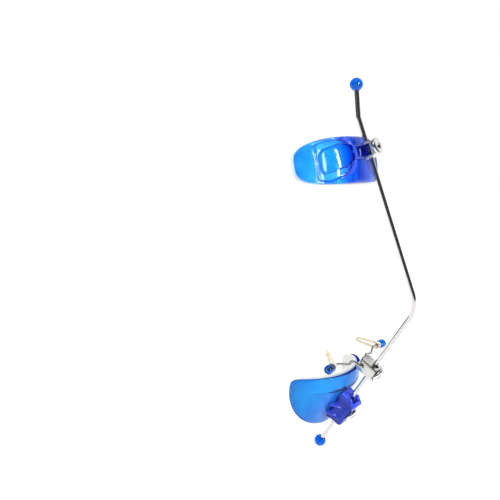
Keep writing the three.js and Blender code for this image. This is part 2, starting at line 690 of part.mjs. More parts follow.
function makeBoss() {
  const side = new THREE.Shape();
  side.moveTo(BOSS_BACK, COLLAR_BOTTOM + OVERRUN);
  side.lineTo(-BOSS_FRONT, COLLAR_BOTTOM + WELD);
  side.lineTo(-BOSS_FRONT, -SCREW_HEAD_RADIUS);
  side.lineTo(-BOSS_TIP_FRONT, -BOSS_BOTTOM + BOSS_ROUND);
  side.lineTo(-BOSS_TIP_FRONT + BOSS_ROUND, -BOSS_BOTTOM);
  side.lineTo(0, -BOSS_BOTTOM);
  side.lineTo(BOSS_BACK, -BOSS_BOTTOM - BOSS_SKIRT);
  return crosswise(side, BOSS_HALF_WIDTH);
}

function makeCollar() {
  const side = new THREE.Shape();
  side.moveTo(BOSS_BACK, COLLAR_BOTTOM);
  side.lineTo(-COLLAR_FRONT, COLLAR_BOTTOM);
  side.lineTo(-COLLAR_FRONT, COLLAR_LIP);
  side.lineTo(-COLLAR_TOP_FRONT, COLLAR_TOP);
  side.lineTo(BOSS_BACK, COLLAR_TOP);
  return crosswise(side, COLLAR_HALF_WIDTH);
}

// Thin gussets that run from the boss's sides down to the cup
function makeRibs() {
  const plan = new THREE.Shape();
  plan.moveTo(-BOSS_HALF_WIDTH, -RIB_FRONT);
  plan.lineTo(BOSS_HALF_WIDTH, -RIB_FRONT);
  plan.lineTo(BOSS_HALF_WIDTH + RIB_SPREAD, RIB_BACK);
  plan.lineTo(-BOSS_HALF_WIDTH - RIB_SPREAD, RIB_BACK);
  const half = RIB_THICKNESS / 2;
  return [RIB_HIGH, -RIB_LOW].map((level) => raised(plan, level - half, level + half));
}

// The pocket in front of the rod that holds the nut, open at the top
const POCKET_FRONT = SCREW_TIP + SEAT_GAP + NUT_THICKNESS + SEAT_GAP;
const POCKET_HALF = NUT_WIDTH / 2 + SEAT_GAP;

function makeChinShell(inCup) {
  const back = () => -SHELL_WALL;
  const bowl = dish({ outline: cupOutline, skin: cupSkin, front: () => 0, back });
  const middle = () => -SHELL_WALL / 2;
  const deep = () => -CUP_DEPTH / 2;
  const plug = dish({ outline: cupOutline, border: OVERRUN, skin: cupSkin, front: middle, back: deep });
  const reach = COLLAR_TOP + OVERRUN;
  const pocket = box([-POCKET_HALF, -POCKET_FRONT, -POCKET_HALF], [POCKET_HALF, 0, reach]);
  const bore = pin(SCREW_BORE, -COLLAR_FRONT - OVERRUN, 0);
  const tunnel = post(ROD_BORE, -CUP_BOTTOM, reach);
  const add = [makeCollar(), ...makeRibs()];
  const front = shaped(makeBoss(), { add, cut: [pocket, bore, tunnel] }).applyMatrix4(inCup);
  return shaped(bowl, { add: [shaped(front, { cut: [plug] })] });
}

function makeChinLiner() {
  const front = () => -SHELL_WALL - FOAM_GAP;
  const back = () => -SHELL_WALL - FOAM_GAP - CHIN_FOAM;
  return dish({ outline: cupOutline, border: CHIN_FOAM_BORDER, skin: cupSkin, front, back });
}

function makeNut() {
  const half = NUT_WIDTH / 2;
  const back = -SCREW_TIP - SEAT_GAP;
  const blank = box([-half, back - NUT_THICKNESS, -half], [half, back, half]);
  return shaped(blank, { cut: [pin(SCREW_BORE, back - NUT_THICKNESS - OVERRUN, back + OVERRUN)] });
}

// Assembly: each group stands where its piece meets the one that carries it
const mask = new THREE.Group();
const pad = new THREE.Group();
const clampGroup = new THREE.Group();
const lower = new THREE.Group();
const block = new THREE.Group();
const chin = new THREE.Group();
const cup = new THREE.Group();

pad.rotation.x = -radians(PAD_LEAN);
clampGroup.position.set(0, -CLAMP_STAND, CLAMP_RISE);
clampGroup.rotation.x = radians(PAD_LEAN - MAIN_LEAN);
lower.position.copy(lowerBend);
lower.rotation.x = radians(LOWER_BEND);
block.position.z = BLOCK_RISE - LOWER_RUN;
chin.position.z = CHIN_RISE - LOWER_RUN;
cup.position.copy(cupCentre);
cup.rotation.x = -radians(LOWER_LEAN);

mask.add(pad);
pad.add(clampGroup);
clampGroup.add(lower);
lower.add(block, chin);
chin.add(cup);
for (const group of [clampGroup, cup]) group.updateMatrix();

pad.add(part('forehead_shell', makeForeheadShell(clampGroup.matrix), blue));
pad.add(part('forehead_liner', makeForeheadLiner(), foam));

clampGroup.add(part('forehead_strap', makeStrap(), steel));
clampGroup.add(part('forehead_clamp_screw', makeScrew(WEB_REACH), steel));
clampGroup.add(part('main_rod', makeRod(), chrome));
clampGroup.add(makeRodCap('rod_cap_top', rodTop, -Math.PI / 2 + radians(UPPER_BEND)));
clampGroup.add(makeRodCap('rod_cap_bottom', rodFoot, Math.PI / 2 + radians(LOWER_BEND)));

block.add(part('crossbar_block', makeBlock(), steel));
block.add(part('block_clamp_screw', makeScrew(BLOCK_FRONT), steel));
block.add(part('crossbar_wire', makeBar(), chrome));
for (const [name, side] of [['right', -1], ['left', 1]]) {
  block.add(makeBarEnd(`crossbar_cap_${name}`, side));
  block.add(makeBand(`elastic_band_${name}`, side));
}

cup.add(part('chin_shell', makeChinShell(cup.matrix.clone().invert()), blue));
cup.add(part('chin_liner', makeChinLiner(), foam));
chin.add(part('chin_nut', makeNut(), steel));
chin.add(part('chin_clamp_screw', makeScrew(BOSS_FRONT), steel));

export default mask;
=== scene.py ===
import math

import bmesh
import bpy
import numpy as np
from mathutils import Matrix, Vector


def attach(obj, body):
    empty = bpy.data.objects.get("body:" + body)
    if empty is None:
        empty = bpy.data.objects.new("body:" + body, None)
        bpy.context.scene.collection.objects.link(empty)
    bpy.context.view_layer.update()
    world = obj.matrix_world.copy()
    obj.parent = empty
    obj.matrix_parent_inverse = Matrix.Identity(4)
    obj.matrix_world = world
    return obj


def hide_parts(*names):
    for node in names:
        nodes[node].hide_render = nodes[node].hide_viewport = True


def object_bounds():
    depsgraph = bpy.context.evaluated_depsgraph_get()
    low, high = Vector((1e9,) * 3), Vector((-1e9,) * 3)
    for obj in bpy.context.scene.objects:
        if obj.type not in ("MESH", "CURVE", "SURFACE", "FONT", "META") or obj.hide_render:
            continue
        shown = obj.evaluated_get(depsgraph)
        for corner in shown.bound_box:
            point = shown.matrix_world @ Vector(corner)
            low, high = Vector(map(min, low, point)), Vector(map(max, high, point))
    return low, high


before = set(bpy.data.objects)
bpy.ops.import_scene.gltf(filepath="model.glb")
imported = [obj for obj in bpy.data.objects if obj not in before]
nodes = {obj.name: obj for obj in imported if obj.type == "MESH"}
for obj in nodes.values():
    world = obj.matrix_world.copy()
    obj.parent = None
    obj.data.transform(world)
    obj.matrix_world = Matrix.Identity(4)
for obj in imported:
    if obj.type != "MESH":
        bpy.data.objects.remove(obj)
cad_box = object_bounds()

# Sizes in millimetres and degrees, as in the part's source
ROD_RADIUS, ROD_BORE = 1.5, 1.75
TOP_RUN, MAIN_RUN, LOWER_RUN = 20.6, 126.8, 132
UPPER_BEND, LOWER_BEND, UPPER_BEND_RADIUS, LOWER_BEND_RADIUS = 15, 53.1, 11, 20
CLAMP_DROP, MAIN_LEAN = 22.5, 23.4
LOWER_LEAN = LOWER_BEND - MAIN_LEAN
BLOCK_STATION, CHIN_STATION = 56.3, 95.35

PAD_LEAN, PAD_BEND_RADIUS, PAD_CROWN_RADIUS = 14, 61, 60
PAD_HALF_ARC, PAD_HALF_HEIGHT, PAD_POWER = 52.5, 15.2, 3.1
SHELL_WALL, FOAM_GAP, FOREHEAD_FOAM, FOAM_BORDER = 2.4, 0.4, 4, 1.5
PAD_FRONT = SHELL_WALL + FOAM_GAP + FOREHEAD_FOAM
CLAMP_RISE, PAD_STANDOFF, BRIDGE_RISE = 4.5, 3.7, 1.1
CLAMP_STAND = PAD_FRONT + BRIDGE_RISE + PAD_STANDOFF
PAD_RIM_ROUND, PAD_FOAM_ROUND = 0.9, 1.3
BRIDGE_EDGE, LOBE_INSET, LOBE_EDGE, LOBE_SINK = 1.0, 0.4, 1.2, 0.75
RELIEF_END, RELIEF_FADE = 37.5, 3.5
RIDGE_OUT, RIDGE_WIDTH, RIDGE_RISE, RIDGE_END = 0.2, 0.7, 0.22, 30
PIT_OUT, PIT_RADIUS, PIT_DEPTH, PIT_TOP = 10.6, 1.0, 1.2, 3

KNUCKLE_RADIUS, KNUCKLE_HALF, NECK_HALF_WIDTH = 2.9, 3.5, 5
SCREW_BORE = 2.25
BORE_REACH, WINDOW_REACH = 9, 6  # past the knuckle's ends and its nose

CUP_STANDOFF, CUP_BROW_RISE, CUP_HALF_WIDTH, CUP_DEPTH, CUP_FALL = 5.17, 16.17, 37, 27, 38
CUP_HALF_ARC, CUP_TOP, CUP_BOTTOM, CUP_LEAN = 40.5, 10.8, 31, 27.7
CUP_TOP_POWER, CUP_BOTTOM_POWER, CUP_SIDE_POWER = 5, 1.9, 2.4
CHIN_FOAM, CHIN_FOAM_BORDER = 3, 0.9
CUP_RIM_ROUND, CUP_FOAM_ROUND = 0.9, 1.1
BOSS_HALF_WIDTH, BOSS_FRONT, BOSS_BOTTOM, BOSS_ROUND, BOSS_SKIRT = 5.2, 6.2, 10.8, 1.6, 3
COLLAR_HALF_WIDTH, COLLAR_FRONT, COLLAR_BOTTOM = 6.2, 6.9, 7.9
COLLAR_LIP, COLLAR_TOP, COLLAR_TOP_FRONT = 9.2, 12.4, 2.3
RIB_THICKNESS, RIB_SPREAD, RIB_FRONT, RIB_BACK = 1.2, 7.3, 3.4, 8.2
RIB_HIGH, RIB_LOW = 2, 6.2
POCKET_HALF, POCKET_FRONT, POCKET_TOP = 3.8, 4.6, 16
TRUNK_INTO_WALL, TRUNK_BACK_RISE, TRUNK_FRONT_RISE = 1, 3, 0.5
SCREW_HOLE_REACH, ROD_HOLE_LOW, ROD_HOLE_HIGH = 12, -30, 20
# The plug clears the cup's hollow and goes inward by a share of the cup's reach
PLUG_REACH, PLUG_ROUND = 0.45, 0.3

BAR_RADIUS, BAR_SEAT, BAR_SIDE, BAR_BEND_RADIUS = 0.9, 5.25, 6.6, 2
BAR_SET_OUT, BAR_SET_BACK, BAR_WAVE_OUT, BAR_WAVE_BACK = 7.8, 11.75, 14.8, 10.55
BAR_STEP_OUT, BAR_STEP_BACK, BAR_HALF_SPAN, BAR_END_BACK = 23.4, 14.45, 35.5, 13.45
BAND_RADIUS, BAND_SEAT_OUT = 0.95, 28.15
BAND_RUN = (8, 11, 2)
BAND_BAR_RADIUS, BAND_TIP_RADIUS = 2.15, 1.25

# Eased edges, in millimetres, and the corner angles they take, in degrees
MOULDED_EASE, MOULDED_CORNER = 0.35, 25
METAL_CORNER, SMOOTH_CORNER, MOULDED_CREASE = 35, 30, 40
STRAP_EASE, BLOCK_EASE = 0.15, 0.2
BAR_EASE = 0.25  # share of a round bar's radius

# One attribute, from 0 to 1, marks where the clear blue plastic is thick and carries painted shade:
# dark lines along steep slopes and along the rim
OPAQUE_FROM = 0.8  # from here on, less light comes through
DRAWN_MOST = 0.79  # painted shade lines stay clear, as does the chin cup's front tint
HUB_HALF, HUB_FADE, HUB_DEPTH = 17, 16, 0.8
# Painted shade lines along the pad's slopes and rim and along the cup's rim: their strength and
# width
SLOPE_SHADE, PAD_RIM_SHADE, PAD_RIM_WIDTH = 1.2, 0.6, 0.035
CUP_RIM_SHADE, CUP_RIM_WIDTH = 0.75, 0.02
FRONT_TINT, FRONT_SHARE, FRONT_FADE, FRONT_LEVEL, FRONT_HALF_HEIGHT = 0.35, 0.86, 6, -15, 12
BOSS_HALO, OUTER_SHARE = 0.7, 0.99


# Frames of the groups: pad, clamp, lower run, block, chin boss and cup
def tilt(degrees):
    return Matrix.Rotation(math.radians(degrees), 4, "X")


def shift(x, y, z):
    return Matrix.Translation((x, y, z))


PAD = tilt(-PAD_LEAN)
CLAMP = PAD @ shift(0, -CLAMP_STAND, CLAMP_RISE) @ tilt(PAD_LEAN - MAIN_LEAN)
LOWER = CLAMP @ shift(0, 0, CLAMP_DROP - MAIN_RUN) @ tilt(LOWER_BEND)
BLOCK = LOWER @ shift(0, 0, -BLOCK_STATION)
CHIN = LOWER @ shift(0, 0, -CHIN_STATION)
lean = math.radians(LOWER_LEAN)
CUP_AXIS_BACK = CUP_STANDOFF + CUP_DEPTH * math.cos(lean)
CUP_AXIS_RISE = CUP_BROW_RISE - CUP_DEPTH * math.sin(lean)
CUP = CHIN @ shift(0, CUP_AXIS_BACK, CUP_AXIS_RISE) @ tilt(-LOWER_LEAN)


# Mesh helpers
def piece(name, points, faces, place=Matrix.Identity(4), sharp=None):
    """A mesh object from points in millimetres in a group's frame, with its normals outward."""
    mesh = bpy.data.meshes.new(name)
    grow = Matrix.Scale(0.001, 4) @ place
    mesh.from_pydata([grow @ Vector(p) for p in points], [], faces)
    mesh.validate()
    body = bmesh.new()
    body.from_mesh(mesh)
    bmesh.ops.recalc_face_normals(body, faces=body.faces)
    body.to_mesh(mesh)
    body.free()
    obj = bpy.data.objects.new(name, mesh)
    bpy.context.scene.collection.objects.link(obj)
    smooth(obj, sharp)
    return obj


def smooth(obj, sharp=None):
    """Smooth shading, with edges sharper than the given degrees kept."""
    obj.data.shade_smooth()
    if sharp is not None:
        obj.data.set_sharp_from_angle(angle=math.radians(sharp))


def settle(obj):
    """Applies the object's modifiers to its mesh."""
    graph = bpy.context.evaluated_depsgraph_get()
    mesh = bpy.data.meshes.new_from_object(obj.evaluated_get(graph))
    obj.modifiers.clear()
    obj.data = mesh
    return obj


def combine(obj, tool, operation):
    """Joins or cuts with a tool, which is used up."""
    made = obj.modifiers.new("join", "BOOLEAN")
    made.operation, made.object, made.solver = operation, tool, "EXACT"
    settle(obj)
    bpy.data.objects.remove(tool)
    return obj


def bevel(obj, width, corner):
    made = obj.modifiers.new("edge", "BEVEL")
    made.width, made.segments, made.limit_method = width * 0.001, 3, "ANGLE"
    made.angle_limit = math.radians(corner)
    made.harden_normals = True


def eased(obj, corner=MOULDED_CORNER):
    bevel(obj, MOULDED_EASE, corner)
    return settle(obj)


def prism(name, plan, low, high, place, side=False):
    """A plan in X and Y carried along Z, or with side a plan in Y and Z carried along X."""
    count = len(plan)
    points = [(h, u, v) if side else (u, v, h) for h in (low, high) for u, v in plan]
    faces = [tuple(range(count)), tuple(range(count, 2 * count))]
    faces += [(i, (i + 1) % count, count + (i + 1) % count, count + i) for i in range(count)]
    return piece(name, points, faces, place, METAL_CORNER)


def rod(name, radius, low, high, place, sides=64):
    turn = [2 * math.pi * k / sides for k in range(sides)]
    plan = [(radius * math.cos(a), radius * math.sin(a)) for a in turn]
    return prism(name, plan, low, high, place)


def even_loop(points, count):
    """The same closed loop with evenly spaced points."""
    loop = np.vstack([points, points[:1]])
    steps = np.linalg.norm(np.diff(loop, axis=0), axis=1)
    length = np.concatenate([[0], np.cumsum(steps)])
    at = np.linspace(0, length[-1], count, endpoint=False)
    return np.stack([np.interp(at, length, loop[:, k]) for k in (0, 1)], 1)


def oval(half_width, top, top_power, bottom, bottom_power, count):
    """Evenly spaced points of a rounded oval whose upper and lower halves differ."""
    fine = 4000
    angle = np.linspace(0, 2 * np.pi, fine, endpoint=False)
    c, s = np.cos(angle), np.sin(angle)
    power = np.where(s > 0, top_power, bottom_power)
    height = np.where(s > 0, top, bottom)
    reach = (np.abs(c) ** power + np.abs(s) ** power) ** (-1 / power)
    return even_loop(np.stack([half_width * c * reach, height * s * reach], 1), count)


def laid(skin, across, up, height):
    """Points at a height over a curved skin, along its normal."""
    step = 1e-3
    right = skin(across + step, up) - skin(across - step, up)
    rise = skin(across, up + step) - skin(across, up - step)
    normal = np.cross(right, rise)
    normal /= np.linalg.norm(normal, axis=1)[:, None]
    return skin(across, up) + normal * np.asarray(height)[:, None]


def plate(name, outline, skin, front, back, rings, edge, place, border=0.0, steps=6):
    """A plate with a rounded rim whose two faces are laid on a curved skin.

    front and back give the faces' heights over the skin, edge is the rim's rounding and
    border is how far the plate goes past its outline.
    """
    count = len(outline)
    reach = np.linalg.norm(outline, axis=1)
    quarter = [math.pi / 2 * j / steps for j in range(1, steps + 1)]
    rim = [(1.0, edge * (1 - math.sin(a)), edge * (1 - math.cos(a))) for a in quarter]
    field = [(i / rings, edge, 0.0) for i in range(1, rings + 1)]
    way = [(*stop, True) for stop in field + rim]
    way += [(*stop, False) for stop in reversed(field + rim)]
    layers = []
    for share, inset, drop, outer in way:
        scale = share * (1 + (border - inset) / reach)
        across, up = outline[:, 0] * scale, outline[:, 1] * scale
        height = front(across, up) - drop if outer else back(across, up) + drop
        layers.append(laid(skin, across, up, height))
    middle = np.zeros(1)
    ends = [laid(skin, middle, middle, face(middle, middle)) for face in (front, back)]
    points = np.vstack([ends[0], *layers, ends[1]])
    faces = []
    last = len(points) - 1
    for i in range(count):
        j = (i + 1) % count
        faces.append((0, 1 + j, 1 + i))
        for k in range(len(layers) - 1):
            a, b = 1 + k * count, 1 + (k + 1) * count
            faces.append((a + i, a + j, b + j, b + i))
        top = 1 + (len(layers) - 1) * count
        faces.append((top + i, top + j, last))
    return piece(name, points.tolist(), faces, place)


def inside(across, up, corners):
    """Distance to a polygon's edge, positive inside and negative outside."""
    spots = np.stack([across, up], 1)
    corners = np.array(corners, float)
    nearest = np.full(len(spots), np.inf)
    odd = np.zeros(len(spots), bool)
    for start, end in zip(corners, np.roll(corners, -1, axis=0)):
        edge = end - start
        t = np.clip(((spots - start) @ edge) / (edge @ edge), 0, 1)
        away = np.linalg.norm(spots - start - t[:, None] * edge, axis=1)
        nearest = np.minimum(nearest, away)
        crosses = (start[1] > spots[:, 1]) != (end[1] > spots[:, 1])
        with np.errstate(divide="ignore", invalid="ignore"):
            level = start[0] + (spots[:, 1] - start[1]) * edge[0] / edge[1]
        odd ^= crosses & (spots[:, 0] < level)
    return np.where(odd, nearest, -nearest)


def step_up(value, width):
    """A smooth step from 0 to 1 about zero, over the given width."""
    t = np.clip(value / width + 0.5, 0, 1)
    return t * t * (3 - 2 * t)


# Materials
WHITE = (1, 1, 1)
# The blues run from thin to thick plastic; the thickest blue also colours the painted shade lines
THIN_BLUE, MIDDLE_BLUE, THICK_AND_SHADE_BLUE = (0.55, 0.88, 1.0), (0.22, 0.4, 0.9), (0.04, 0.07, 0.56)
CAP_BLUE, CLOUD_BLUE, VOLUME_BLUE = (0.42, 0.78, 0.9), (0.7, 0.82, 0.95), (0.04, 0.76, 0.965)
MIDDLE_AT = 0.75  # the depth at which the blue is in between
PLASTIC_IOR, DEEP_TRANSMISSION = 1.34, 0.3
PAD_DENSITY, CUP_DENSITY, CAP_DENSITY = 480, 660, 1050  # absorption per metre
# Painted shade: steel darkens in its hollows and in the strap's fold
HOLLOW_SHADE = (0.03, 0.03, 0.035)
HOLLOW_SHADE_REACH, FOLD_SHADE_REACH = 0.0025, 0.0005  # reaches of that painted shade, in metres


def material(name, colour, roughness, metallic=0.0):
    made = bpy.data.materials.new(name)
    made.use_nodes = True
    tree = made.node_tree
    shader = tree.nodes["Principled BSDF"]
    shader.inputs["Base Color"].default_value = (*colour, 1)
    shader.inputs["Roughness"].default_value = roughness
    shader.inputs["Metallic"].default_value = metallic
    return made, tree, shader


def add(tree, kind, **values):
    """A node whose values are set on its sockets, or on the node where it has no such socket."""
    node = tree.nodes.new(kind)
    for key, value in values.items():
        if key in node.inputs:
            node.inputs[key].default_value = value
        else:
            setattr(node, key, value)
    return node


def place_on(tree, scale, stretch=(1, 1, 1)):
    """The piece's own coordinates, scaled."""
    where = add(tree, "ShaderNodeTexCoord")
    mapping = add(tree, "ShaderNodeMapping")
    mapping.inputs["Scale"].default_value = tuple(scale * s for s in stretch)
    tree.links.new(where.outputs["Object"], mapping.inputs["Vector"])
    return mapping.outputs["Vector"]


def noise(tree, vector, detail=3.0):
    node = add(tree, "ShaderNodeTexNoise", Scale=1.0, Detail=detail)
    tree.links.new(vector, node.inputs["Vector"])
    return node.outputs["Fac"]


def ramp(tree, fac, low, high, start=0.35, end=0.65):
    node = add(tree, "ShaderNodeValToRGB")
    first, last = node.color_ramp.elements
    first.position, last.position = start, end
    first.color, last.color = (*low, 1), (*high, 1)
    tree.links.new(fac, node.inputs["Fac"])
    return node.outputs["Color"]


def between(tree, fac, low, high):
    node = add(tree, "ShaderNodeMapRange")
    node.inputs["To Min"].default_value, node.inputs["To Max"].default_value = low, high
    tree.links.new(fac, node.inputs["Value"])
    return node.outputs["Result"]


def multiplied(tree, first, second):
    node = add(tree, "ShaderNodeMix", data_type="RGBA", blend_type="MULTIPLY")
    node.inputs["Factor"].default_value = 1.0
    tree.links.new(first, node.inputs["A"])
    tree.links.new(second, node.inputs["B"])
    return node.outputs["Result"]


def bump(tree, shader, height, strength, distance):
    node = add(tree, "ShaderNodeBump", Strength=strength, Distance=distance)
    tree.links.new(height, node.inputs["Height"])
    tree.links.new(node.outputs["Normal"], shader.inputs["Normal"])


def clear_blue(name, density, thin=THIN_BLUE):
    """Clear moulded plastic, of deeper blue where the piece is marked thick and where painted shade
    lines are marked on it.
    """
    made, tree, shader = material(name, thin, 0.06)
    shader.inputs["IOR"].default_value = PLASTIC_IOR
    # the mark holds thickness and the painted shade lines, which darken the blue and let less light
    # through
    thickness_and_shade = add(tree, "ShaderNodeAttribute", attribute_name="thickness_and_shade").outputs["Fac"]
    solid = between(tree, thickness_and_shade, 1.0, DEEP_TRANSMISSION)
    solid.node.inputs["From Min"].default_value = OPAQUE_FROM
    tree.links.new(solid, shader.inputs["Transmission Weight"])
    tint = ramp(tree, thickness_and_shade, thin, THICK_AND_SHADE_BLUE, 0.0, 1.0)
    tint.node.color_ramp.elements.new(MIDDLE_AT).color = (*MIDDLE_BLUE, 1)
    clouds = ramp(tree, noise(tree, place_on(tree, 70), 2), CLOUD_BLUE, WHITE)
    tree.links.new(multiplied(tree, tint, clouds), shader.inputs["Base Color"])
    fine = noise(tree, place_on(tree, 900), 4)
    tree.links.new(between(tree, fine, 0.02, 0.11), shader.inputs["Roughness"])
    bump(tree, shader, noise(tree, place_on(tree, 160), 2), 0.12, 0.0006)
    volume = add(tree, "ShaderNodeVolumeAbsorption")
    volume.inputs["Color"].default_value = (*VOLUME_BLUE, 1)
    volume.inputs["Density"].default_value = density
    output = tree.nodes["Material Output"]
    tree.links.new(volume.outputs["Volume"], output.inputs["Volume"])
    return made


def foam_white():
    """Closed-cell foam with fine cells and slow clouds."""
    made, tree, shader = material("white_foam", (0.9, 0.9, 0.87), 0.92)
    cells = add(tree, "ShaderNodeTexVoronoi", Scale=1.0)
    tree.links.new(place_on(tree, 2600), cells.inputs["Vector"])
    clouds = noise(tree, place_on(tree, 220), 3)
    tint = ramp(tree, clouds, (0.86, 0.86, 0.82), (0.93, 0.93, 0.91))
    tree.links.new(tint, shader.inputs["Base Color"])
    bump(tree, shader, cells.outputs["Distance"], 0.35, 0.0002)
    shader.inputs["Sheen Weight"].default_value = 0.15
    return made


def latex_cream():
    """Natural latex, slightly uneven in tint and shine."""
    made, tree, shader = material("cream_latex", (0.94, 0.87, 0.64), 0.5)
    streak = noise(tree, place_on(tree, 500), 4)
    tint = ramp(tree, streak, (0.90, 0.81, 0.56), (0.97, 0.92, 0.74))
    tree.links.new(tint, shader.inputs["Base Color"])
    tree.links.new(between(tree, streak, 0.4, 0.6), shader.inputs["Roughness"])
    shader.inputs["Subsurface Weight"].default_value = 0.3
    shader.inputs["Subsurface Scale"].default_value = 0.0008
    bump(tree, shader, noise(tree, place_on(tree, 1800), 2), 0.2, 0.0001)
    return made


def steel(name, colour, roughness, stretch, depth, reach=HOLLOW_SHADE_REACH):
    """Steel with a grain stretched along the piece, with painted shade that darkens hollows
    narrower than the reach.
    """
    made, tree, shader = material(name, colour, roughness, 1.0)
    grain = noise(tree, place_on(tree, 1, stretch), 4)
    low = tuple(c * 0.88 for c in colour)
    # painted shade: ambient occlusion darkens sockets, holes and folds
    hollow = add(tree, "ShaderNodeAmbientOcclusion", Distance=reach)
    hollow.samples = 8
    shadow = ramp(tree, hollow.outputs["AO"], HOLLOW_SHADE, WHITE, 0.25, 0.65)
    shaded = multiplied(tree, ramp(tree, grain, low, colour), shadow)
    tree.links.new(shaded, shader.inputs["Base Color"])
    uneven = between(tree, grain, roughness * 0.7, roughness * 1.4)
    tree.links.new(uneven, shader.inputs["Roughness"])
    bump(tree, shader, grain, 0.25, depth)
    return made


blue_pad = clear_blue("clear_blue_pad", PAD_DENSITY)
blue_cup = clear_blue("clear_blue_cup", CUP_DENSITY)
blue_cap = clear_blue("clear_blue_cap", CAP_DENSITY, CAP_BLUE)
white_foam = foam_white()
cream = latex_cream()
satin = steel("satin_steel", (0.70, 0.70, 0.67), 0.24, (900, 2600, 300), 0.00006)
folded = steel("folded_strap_steel", (0.86, 0.86, 0.84), 0.3, (900, 300, 2600), 0.00005, FOLD_SHADE_REACH)
bright = steel("bright_screw_steel", (0.86, 0.86, 0.85), 0.16, (1500, 1500, 1500), 0.00003)
rod_steel = steel("polished_rod", (0.74, 0.72, 0.71), 0.12, (2400, 2400, 120), 0.00003)
wire_steel = steel("polished_wire", (0.62, 0.61, 0.60), 0.16, (120, 2400, 2400), 0.00003)


def dress(obj, made):
    obj.data.materials.clear()
    obj.data.materials.append(made)


def finish_piece(obj, body, slot, made, *stands_for):
    """Material, body and the nodes that the piece takes the place of; slot is not used."""
    dress(obj, made)
    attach(obj, body)
    if stands_for:
        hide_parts(*stands_for)


# Forehead pad
def pad_skin(across, up):
    turn = across / PAD_BEND_RADIUS
    back = PAD_BEND_RADIUS * (1 - np.cos(turn)) + up**2 / (2 * PAD_CROWN_RADIUS)
    return np.stack([PAD_BEND_RADIUS * np.sin(turn), back - PAD_FRONT, up], 1)


# Outlines of the raised bridge and of a sunk lobe, both mirrored about X = 0
BRIDGE_PLAN = [(-40, 8.4), (8, 8.6), (15, 10.3), (19, 10.3), (32.5, 7.4), (35, 5), (36, 0),
               (35.6, -5), (33.5, -7.6), (19, -4.6), (15, -4.2), (8, 0.4), (-40, 0.6)]
LOBE_PLAN = [(8.2, 3), (9, 8), (11.5, 11.6), (15, 13.7), (30, 13.2), (44, 10), (50, 0),
             (44, -10.5), (29, -13), (26, -12.3), (18, -10), (11.5, -6), (9, -2)]


def pad_relief(across, up):
    """Height of the bridge, the lobes and the ridge round them over the pad's skin."""
    wide = np.abs(across)
    bridge = step_up(inside(wide, up, BRIDGE_PLAN), BRIDGE_EDGE)
    lobe = inside(wide, up, LOBE_PLAN)
    bowl = step_up(lobe - LOBE_INSET, LOBE_EDGE)
    fade = 1 - step_up(wide - RELIEF_END, RELIEF_FADE)
    ridge = np.exp(-((lobe + RIDGE_OUT) / RIDGE_WIDTH) ** 2) * (wide < RIDGE_END)
    sunk = LOBE_SINK * bowl * (1 - bridge) * fade
    return BRIDGE_RISE * bridge * fade - sunk + RIDGE_RISE * ridge


def knuckle_plan():
    """The knuckle's round nose and its neck, which widens towards the pad."""
    points = [(KNUCKLE_RADIUS * math.cos(a), KNUCKLE_RADIUS * math.sin(a))
              for a in np.linspace(math.pi, 2 * math.pi, 33)]
    waist, base = PAD_STANDOFF / 2, PAD_STANDOFF + BRIDGE_RISE + SHELL_WALL / 2
    return points + [(KNUCKLE_RADIUS, waist), (NECK_HALF_WIDTH, base),
                     (-NECK_HALF_WIDTH, base), (-KNUCKLE_RADIUS, waist)]


def mark(obj, place, value):
    """Writes the thickness and painted shade mark from each point's place in a group's frame."""
    back = place.inverted() @ Matrix.Scale(1000, 4)
    co = np.empty(len(obj.data.vertices) * 3)
    obj.data.vertices.foreach_get("co", co)
    local = co.reshape(-1, 3) @ np.array(back.to_3x3()).T + np.array(back.translation)
    layer = obj.data.attributes.new("thickness_and_shade", "FLOAT", "POINT")
    layer.data.foreach_set("value", np.clip(value(local), 0, 1).astype(np.float32))


def flat(value):
    """A face at one height over the skin."""
    return lambda across, up: np.full(len(across), float(value))


def pad_edge(count):
    return oval(PAD_HALF_ARC, PAD_HALF_HEIGHT, PAD_POWER, PAD_HALF_HEIGHT, PAD_POWER, count)


shell = plate("forehead_shell_moulding", pad_edge(320), pad_skin, pad_relief, flat(-SHELL_WALL),
              110, PAD_RIM_ROUND, PAD)
knuckle = prism("knuckle", knuckle_plan(), -KNUCKLE_HALF, KNUCKLE_HALF, CLAMP)
combine(shell, eased(knuckle, METAL_CORNER), "UNION")
combine(shell, rod("bore", ROD_BORE, -BORE_REACH, BORE_REACH, CLAMP), "DIFFERENCE")
opening = [(-WINDOW_REACH, -WINDOW_REACH), (WINDOW_REACH, -WINDOW_REACH),
           (WINDOW_REACH, 0), (-WINDOW_REACH, 0)]
combine(shell, prism("window", opening, -SCREW_BORE, SCREW_BORE, CLAMP), "DIFFERENCE")
for side in (-1, 1):
    x, y, z = pad_skin(np.array([side * PIT_OUT]), np.array([CLAMP_RISE]))[0]
    spot = PAD @ shift(x, y - BRIDGE_RISE, z) @ tilt(90)
    combine(shell, rod("pit", PIT_RADIUS, -PIT_DEPTH, PIT_TOP, spot), "DIFFERENCE")


